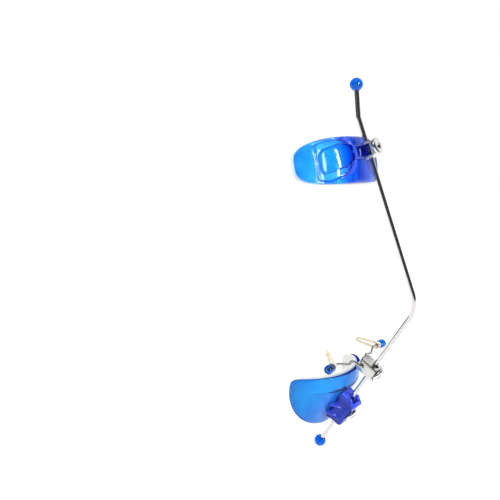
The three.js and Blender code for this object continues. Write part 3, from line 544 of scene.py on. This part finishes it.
def pad_thickness_and_shade(local):
    """Deep about the knuckle, where the plastic is thick, with painted shade lines along the
    relief's slopes and the rim.
    """
    x, y, up = local.T
    across = PAD_BEND_RADIUS * np.arctan2(x, PAD_BEND_RADIUS - PAD_FRONT - y)
    rise, step = pad_relief(across, up), 0.2
    beside, above = pad_relief(across + step, up), pad_relief(across, up + step)
    slope = np.hypot(beside - rise, above - rise) / step
    hub = step_up(HUB_HALF - np.abs(across), HUB_FADE)
    share = np.stack([across / PAD_HALF_ARC, up / PAD_HALF_HEIGHT], 1)
    rim = np.clip(1 - np.linalg.norm(share, ord=PAD_POWER, axis=1), 0, 1)
    # painted shade: dark lines where the relief slopes and along the rim
    drawn = SLOPE_SHADE * np.clip(slope, 0, 1) + PAD_RIM_SHADE * np.exp(-rim / PAD_RIM_WIDTH)
    return HUB_DEPTH * hub + np.minimum(drawn, DRAWN_MOST)


mark(shell, PAD, pad_thickness_and_shade)
smooth(shell, MOULDED_CREASE)
finish_piece(shell, "forehead_pad", "blue_plastic", blue_pad, "forehead_shell")

liner = plate("forehead_foam_pad", pad_edge(200), pad_skin, flat(-SHELL_WALL - FOAM_GAP),
              flat(-PAD_FRONT), 30, PAD_FOAM_ROUND, PAD, border=FOAM_BORDER)
finish_piece(liner, "forehead_pad", "foam", white_foam, "forehead_liner")


# Chin cup
def cup_reach(up):
    """How far the cup reaches forward of its axis at a height."""
    below = np.clip(-up / CUP_FALL, 0, 1)
    return CUP_DEPTH - below * CUP_FALL * math.tan(math.radians(CUP_LEAN))


def cup_width(up):
    below = np.clip(-up / CUP_FALL, 0, 1)
    return CUP_HALF_WIDTH * (1 - below**CUP_SIDE_POWER) ** (1 / CUP_SIDE_POWER)


def cup_skin(across, up):
    angle = across / CUP_DEPTH
    return np.stack([cup_width(up) * np.sin(angle), -cup_reach(up) * np.cos(angle), up], 1)


def cup_edge(count):
    return oval(CUP_HALF_ARC, CUP_TOP, CUP_TOP_POWER, CUP_BOTTOM, CUP_BOTTOM_POWER, count)


def chin_boss():
    """The boss with its collar and ribs, bored, with its back cut to the cup's wall."""
    wall_back = CUP_STANDOFF + SHELL_WALL
    trunk_back, ends = wall_back + TRUNK_INTO_WALL, BOSS_HALF_WIDTH + RIB_SPREAD
    trunk = [(trunk_back, COLLAR_BOTTOM + TRUNK_BACK_RISE),
             (-BOSS_FRONT, COLLAR_BOTTOM + TRUNK_FRONT_RISE),
             (-BOSS_FRONT, -BOSS_BOTTOM + BOSS_ROUND), (-BOSS_FRONT + BOSS_ROUND, -BOSS_BOTTOM),
             (0, -BOSS_BOTTOM), (trunk_back, -BOSS_BOTTOM - BOSS_SKIRT)]
    lip = [(wall_back, COLLAR_BOTTOM), (-COLLAR_FRONT, COLLAR_BOTTOM),
           (-COLLAR_FRONT, COLLAR_LIP), (-COLLAR_TOP_FRONT, COLLAR_TOP), (wall_back, COLLAR_TOP)]
    rib = [(-BOSS_HALF_WIDTH, -RIB_FRONT), (BOSS_HALF_WIDTH, -RIB_FRONT),
           (ends, RIB_BACK), (-ends, RIB_BACK)]
    seat = [(-POCKET_HALF, -POCKET_FRONT), (POCKET_HALF, -POCKET_FRONT),
            (POCKET_HALF, 0), (-POCKET_HALF, 0)]
    boss = eased(prism("boss", trunk, -BOSS_HALF_WIDTH, BOSS_HALF_WIDTH, CHIN, side=True))
    collar = prism("collar", lip, -COLLAR_HALF_WIDTH, COLLAR_HALF_WIDTH, CHIN, side=True)
    combine(boss, eased(collar), "UNION")
    for level in (RIB_HIGH, -RIB_LOW):
        gusset = prism("gusset", rib, level - RIB_THICKNESS / 2, level + RIB_THICKNESS / 2, CHIN)
        combine(boss, eased(gusset), "UNION")
    combine(boss, prism("pocket", seat, -POCKET_HALF, POCKET_TOP, CHIN), "DIFFERENCE")
    screw_hole = rod("screw_hole", SCREW_BORE, 0, SCREW_HOLE_REACH, CHIN @ tilt(90))
    combine(boss, screw_hole, "DIFFERENCE")
    combine(boss, rod("rod_hole", ROD_BORE, ROD_HOLE_LOW, ROD_HOLE_HIGH, CHIN), "DIFFERENCE")
    plug = plate("plug", cup_edge(120), cup_skin, flat(-SHELL_WALL / 2),
                 lambda across, up: -PLUG_REACH * cup_reach(up), 20, PLUG_ROUND, CUP)
    return combine(boss, plug, "DIFFERENCE")


cup = plate("chin_shell_moulding", cup_edge(280), cup_skin, flat(0), flat(-SHELL_WALL),
            60, CUP_RIM_ROUND, CUP)
combine(cup, chin_boss(), "UNION")


def cup_thickness_and_shade(local):
    """Deep on the boss with its collar and ribs, with a painted shade line along the rim, and
    tinted in front.
    """
    x, y, z = local.T
    width, front = cup_width(z), cup_reach(z)
    outer = (np.hypot(x / width, y / front) > OUTER_SHARE) & (y < 0)
    turn = CHIN.inverted() @ CUP
    across, _, station = (local @ np.array(turn.to_3x3()).T + np.array(turn.translation)).T
    wide, halo = np.abs(across), BOSS_HALO
    below_top, above_skirt = station < COLLAR_TOP + halo, station > -BOSS_BOTTOM - BOSS_SKIRT - halo
    trunk = (wide < BOSS_HALF_WIDTH + halo) & below_top & above_skirt
    lip = (wide < COLLAR_HALF_WIDTH + halo) & below_top & (station > COLLAR_BOTTOM - halo)
    off_rib = np.minimum(np.abs(station - RIB_HIGH), np.abs(station + RIB_LOW))
    rib = (wide < BOSS_HALF_WIDTH + RIB_SPREAD + halo) & (off_rib < RIB_THICKNESS / 2 + halo)
    power = np.where(z > 0, CUP_TOP_POWER, CUP_BOTTOM_POWER)
    height = np.where(z > 0, CUP_TOP, CUP_BOTTOM)
    sheet = CUP_DEPTH * np.abs(np.arctan2(x / width, -y / front)) / CUP_HALF_ARC
    rim = np.clip(1 - (sheet**power + (np.abs(z) / height) ** power) ** (1 / power), 0, 1)
    level = step_up(FRONT_HALF_HEIGHT - np.abs(z - FRONT_LEVEL), FRONT_HALF_HEIGHT)
    tinted = FRONT_TINT * step_up(-y - front * FRONT_SHARE, FRONT_FADE) * level
    # painted shade: a dark line along the rim, added to the front tint
    drawn = tinted + CUP_RIM_SHADE * np.exp(-rim / CUP_RIM_WIDTH)
    return outer * (trunk | lip | rib) + np.minimum(drawn, DRAWN_MOST)


mark(cup, CUP, cup_thickness_and_shade)
smooth(cup, MOULDED_CREASE)
finish_piece(cup, "chin_cup", "blue_plastic", blue_cup, "chin_shell")

cup_liner = plate("chin_foam_pad", cup_edge(180), cup_skin, flat(-SHELL_WALL - FOAM_GAP),
                  flat(-SHELL_WALL - FOAM_GAP - CHIN_FOAM), 40, CUP_FOAM_ROUND, CUP,
                  border=CHIN_FOAM_BORDER)
finish_piece(cup_liner, "chin_cup", "foam", white_foam, "chin_liner")


# Elastic bands
def tube_faces(rings, sides, closed=False):
    """The faces between rings of points, closed into a loop or left open at the ends."""
    faces = []
    for i in range(rings if closed else rings - 1):
        here, ahead = i * sides, (i + 1) % rings * sides
        for k in range(sides):
            m = (k + 1) % sides
            faces.append((here + k, here + m, ahead + m, ahead + k))
    return faces


def band(name, side, node):
    """A loop of round section, stretched from its seat on the crossbar to a tight end."""
    share = (BAND_SEAT_OUT - BAR_STEP_OUT) / (BAR_HALF_SPAN - BAR_STEP_OUT)
    seat_back = BAR_STEP_BACK + share * (BAR_END_BACK - BAR_STEP_BACK)
    seat = Vector((side * BAND_SEAT_OUT, seat_back, 0))
    run = Vector((-side * BAND_RUN[0], BAND_RUN[1], -BAND_RUN[2]))
    length = run.length
    forward = run.normalized()
    upward = Vector((side, 0, 0)).cross(forward).normalized()
    across = forward.cross(upward)
    spread = math.asin((BAND_BAR_RADIUS - BAND_TIP_RADIUS) / length)
    quarter = math.pi / 2
    path = [(BAND_BAR_RADIUS * math.cos(a), BAND_BAR_RADIUS * math.sin(a))
            for a in np.linspace(quarter - spread, 3 * quarter + spread, 25)]
    path += [(length + BAND_TIP_RADIUS * math.cos(a), BAND_TIP_RADIUS * math.sin(a))
             for a in np.linspace(-quarter + spread, quarter - spread, 21)]
    loop = even_loop(np.array(path), 120)
    ahead = np.roll(loop, -1, axis=0) - np.roll(loop, 1, axis=0)
    ahead /= np.linalg.norm(ahead, axis=1)[:, None]
    points, sides = [], 16
    for (x, y), (tx, ty) in zip(loop, ahead):
        for k in range(sides):
            a = 2 * math.pi * k / sides
            out, thick = BAND_RADIUS * math.cos(a), BAND_RADIUS * math.sin(a)
            spot = seat + forward * (x + ty * out) + upward * (y - tx * out)
            points.append(spot + across * thick)
    made = piece(name, points, tube_faces(len(loop), sides, closed=True), BLOCK)
    finish_piece(made, "crossbar", "latex", cream, node)


band("elastic_loop_right", -1, "elastic_band_right")
band("elastic_loop_left", 1, "elastic_band_left")


# Rod and crossbar
def bend(before, corner, after, radius, steps=14):
    """Points of a round bend between two straight runs."""
    arriving, leaving = (corner - before).normalized(), (after - corner).normalized()
    turn = arriving.angle(leaving)
    axis = arriving.cross(leaving).normalized()
    start = corner - arriving * radius * math.tan(turn / 2)
    centre = start + axis.cross(arriving) * radius
    turns = [Matrix.Rotation(turn * k / steps, 3, axis) for k in range(steps + 1)]
    return [centre + turned @ (start - centre) for turned in turns]


def wire(name, corners, radii, radius, place, sides=40):
    """A round bar of straight runs and round bends in one plane, with eased ends."""
    corners = [Vector(c) for c in corners]
    route = [corners[0]]
    for i, turning in enumerate(radii):
        route += bend(corners[i], corners[i + 1], corners[i + 2], turning)
    route.append(corners[-1])
    flat_way = (corners[1] - corners[0]).cross(corners[2] - corners[1]).normalized()
    ease = radius * BAR_EASE
    rings = []
    for i, spot in enumerate(route):
        ahead = (route[min(i + 1, len(route) - 1)] - route[max(i - 1, 0)]).normalized()
        rings.append((spot, ahead, radius))
    first, last = rings[0], rings[-1]
    rings[0] = (first[0] + first[1] * ease, first[1], radius)
    rings[-1] = (last[0] - last[1] * ease, last[1], radius)
    rings.insert(0, (first[0], first[1], radius - ease))
    rings.append((last[0], last[1], radius - ease))
    points = []
    for spot, ahead, reach in rings:
        across = flat_way.cross(ahead)
        for k in range(sides):
            a = 2 * math.pi * k / sides
            points.append(spot + (across * math.cos(a) + flat_way * math.sin(a)) * reach)
    last_ring = (len(rings) - 1) * sides
    faces = tube_faces(len(rings), sides)
    faces += [tuple(range(sides)), tuple(range(last_ring, last_ring + sides))]
    return piece(name, points, faces, place, SMOOTH_CORNER)


def run(angle, length):
    turn = math.radians(angle)
    return Vector((0, length * math.sin(turn), length * math.cos(turn)))


upper, lower = Vector((0, 0, CLAMP_DROP)), Vector((0, 0, CLAMP_DROP - MAIN_RUN))
top, foot = upper + run(-UPPER_BEND, TOP_RUN), lower - run(-LOWER_BEND, LOWER_RUN)
rod_radii = [UPPER_BEND_RADIUS, LOWER_BEND_RADIUS]
rod_bar = wire("bent_rod_bar", [top, upper, lower, foot], rod_radii, ROD_RADIUS, CLAMP)
finish_piece(rod_bar, "rod", "polished_wire", rod_steel, "main_rod")
half = [(BAR_SIDE, BAR_SEAT, 0), (BAR_SET_OUT, BAR_SET_BACK, 0), (BAR_WAVE_OUT, BAR_WAVE_BACK, 0),
        (BAR_STEP_OUT, BAR_STEP_BACK, 0), (BAR_HALF_SPAN, BAR_END_BACK, 0)]
bar_corners = [(-x, y, z) for x, y, z in reversed(half)] + half
bar_wire = wire("crossbar_bar", bar_corners, [BAR_BEND_RADIUS] * 8, BAR_RADIUS, BLOCK)
finish_piece(bar_wire, "crossbar", "polished_wire", wire_steel, "crossbar_wire")


# Pieces carried over from the CAD: screws, strap, block, nut and caps
def polish(node, made, edge=None):
    """Welds a node's mesh, eases its edges where an edge is given and dresses it."""
    obj = nodes[node]
    dress(obj, made)
    weld = obj.modifiers.new("weld", "WELD")
    weld.merge_threshold = 1e-6
    if edge:
        flat_faces = obj.modifiers.new("flat", "DECIMATE")
        flat_faces.decimate_type, flat_faces.angle_limit = "DISSOLVE", math.radians(0.5)
        bevel(obj, edge, METAL_CORNER)
    smooth(obj, SMOOTH_CORNER)


for name in ("forehead_clamp_screw", "block_clamp_screw", "chin_clamp_screw"):
    polish(name, bright)
polish("forehead_strap", folded, STRAP_EASE)
polish("crossbar_block", satin, BLOCK_EASE)
polish("chin_nut", satin, BLOCK_EASE)
CAPS = ("rod_cap_top", "rod_cap_bottom", "crossbar_cap_right", "crossbar_cap_left")
for name in CAPS:
    polish(name, blue_cap)


# Camera, lights and floor
CAMERA_ANGLES = -49.05, 10.46, 1.75  # azimuth, elevation and roll in degrees
CAMERA_PLACE = -0.32316, -0.192907, 0.007133
FOCAL_LENGTH, PICTURE_WIDTH = 560, 500  # in pixels
SENSOR_WIDTH = 36  # in millimetres
LIT_PLACE, STRIP_DISTANCE, TOP_DISTANCE = (0, -0.01, -0.07), 0.75, 0.8  # in metres
FRONT_WAY, BEHIND_WAY = (-0.45, -0.89, 0.05), (0.1, 0.99, 0.1)
FLOOR_DROP, FLOOR_REACH, FLOOR_GLOW = 0.03, 3000, 0.4


def outward(azimuth, elevation):
    """The direction from the part to a place round it. Angles in radians."""
    level = math.cos(elevation)
    return Vector((math.sin(azimuth) * level, -math.cos(azimuth) * level, math.sin(elevation)))


def camera():
    azimuth, elevation, roll = (math.radians(v) for v in CAMERA_ANGLES)
    back = outward(azimuth, elevation)
    right = Vector((math.cos(azimuth), math.sin(azimuth), 0))
    up = back.cross(right)
    turned = math.cos(roll) * right + math.sin(roll) * up
    raised = -math.sin(roll) * right + math.cos(roll) * up
    lens = bpy.data.cameras.new("camera")
    lens.sensor_width = SENSOR_WIDTH
    lens.lens = FOCAL_LENGTH / PICTURE_WIDTH * SENSOR_WIDTH
    lens.clip_start = 0.01
    obj = bpy.data.objects.new("camera", lens)
    basis = Matrix((turned, raised, back)).transposed().to_4x4()
    obj.matrix_world = Matrix.Translation(CAMERA_PLACE) @ basis
    bpy.context.scene.collection.objects.link(obj)
    bpy.context.scene.camera = obj


def softbox(name, azimuth, elevation, distance, width, height, power, lit):
    """A soft lamp aimed at the middle of the mask that lights only the given pieces."""
    out = outward(math.radians(azimuth), math.radians(elevation))
    lamp = bpy.data.lights.new(name, "AREA")
    lamp.shape, lamp.size, lamp.size_y, lamp.energy = "RECTANGLE", width, height, power
    obj = bpy.data.objects.new(name, lamp)
    obj.location = Vector(LIT_PLACE) + out * distance
    obj.rotation_mode = "QUATERNION"
    obj.rotation_quaternion = (-out).to_track_quat("-Z", "Y")
    obj.visible_camera = False
    bpy.context.scene.collection.objects.link(obj)
    receivers = bpy.data.collections.new(name + "_lit")
    for receiver in lit:
        receivers.objects.link(receiver)
    obj.light_linking.receiver_collection = receivers


def background(tree, strength=1.0):
    node = add(tree, "ShaderNodeBackground", Strength=strength)
    node.inputs["Color"].default_value = (1, 1, 1, 1)
    return node


def reckoned(tree, operation, first, second):
    """A math node of two outputs, the second of which may be a number."""
    node = add(tree, "ShaderNodeMath", operation=operation)
    tree.links.new(first, node.inputs[0])
    if isinstance(second, float):
        node.inputs[1].default_value = second
    else:
        tree.links.new(second, node.inputs[1])
    return node.outputs[0]


def shaded_toward(tree, ray, direction, start, end, least):
    """Falls smoothly from 1 to the least value for rays that go in a direction."""
    toward = add(tree, "ShaderNodeVectorMath", operation="DOT_PRODUCT")
    toward.inputs[1].default_value = direction
    tree.links.new(ray, toward.inputs[0])
    fall = between(tree, toward.outputs["Value"], 1.0, least)
    fall.node.interpolation_type = "SMOOTHSTEP"
    fall.node.inputs["From Min"].default_value = start
    fall.node.inputs["From Max"].default_value = end
    return fall


def chosen(tree, fac, first, second):
    node = add(tree, "ShaderNodeMixShader")
    for socket, output in zip(node.inputs, (fac, first, second)):
        tree.links.new(output, socket)
    return node.outputs[0]


def surroundings():
    """White where seen, and dark in front and behind for what the glossy pieces mirror."""
    world = bpy.data.worlds.new("studio")
    bpy.context.scene.world = world
    world.use_nodes = True
    tree = world.node_tree
    tree.nodes.clear()
    path = add(tree, "ShaderNodeLightPath").outputs
    ray = add(tree, "ShaderNodeTexCoord").outputs["Generated"]
    front = shaded_toward(tree, ray, FRONT_WAY, 0.0, 0.3, 0.05)
    behind = shaded_toward(tree, ray, BEHIND_WAY, 0.1, 0.45, 0.06)
    studio = background(tree)
    tree.links.new(reckoned(tree, "MULTIPLY", front, behind), studio.inputs["Strength"])
    seen = reckoned(tree, "MAXIMUM", path["Is Camera Ray"], path["Is Transmission Ray"])
    plain, white = background(tree, 0.9).outputs[0], background(tree).outputs[0]
    unseen = chosen(tree, path["Is Glossy Ray"], plain, studio.outputs[0])
    out = add(tree, "ShaderNodeOutputWorld")
    tree.links.new(chosen(tree, seen, unseen, white), out.inputs[0])


def ground():
    """A white floor below the mask that glows where it is seen, mirrored or seen through."""
    level, around = (cad_box[0].z - FLOOR_DROP) * 1000, ((-1, -1), (1, -1), (1, 1), (-1, 1))
    corners = [(x * FLOOR_REACH, y * FLOOR_REACH, level) for x, y in around]
    floor = piece("floor", corners, [(0, 1, 2, 3)])
    made, tree, shader = material("pale_floor", (0.93, 0.93, 0.93), 0.9)
    tint = ramp(tree, noise(tree, place_on(tree, 8), 2), (0.92, 0.92, 0.92), (0.94, 0.94, 0.94))
    tree.links.new(tint, shader.inputs["Base Color"])
    path = add(tree, "ShaderNodeLightPath").outputs
    direct = reckoned(tree, "MAXIMUM", path["Is Camera Ray"], path["Is Glossy Ray"])
    seen = reckoned(tree, "MAXIMUM", direct, path["Is Transmission Ray"])
    shader.inputs["Emission Color"].default_value = (1, 1, 1, 1)
    glow = reckoned(tree, "MULTIPLY", seen, FLOOR_GLOW)
    tree.links.new(glow, shader.inputs["Emission Strength"])
    dress(floor, made)


camera()
blue_pieces = [shell, cup] + [nodes[name] for name in CAPS]
softbox("broad_strip", -14, 20, STRIP_DISTANCE, 0.15, 0.5, 5.5, blue_pieces)
softbox("narrow_strip", 13, 20, STRIP_DISTANCE, 0.035, 0.42, 3.5, blue_pieces)
others = [obj for obj in bpy.data.objects if obj.type == "MESH" and obj not in (rod_bar, shell)]
softbox("top_box", -75, 60, TOP_DISTANCE, 0.5, 0.5, 1.4, others)
surroundings()
ground()
bpy.context.scene.view_settings.view_transform = "Standard"
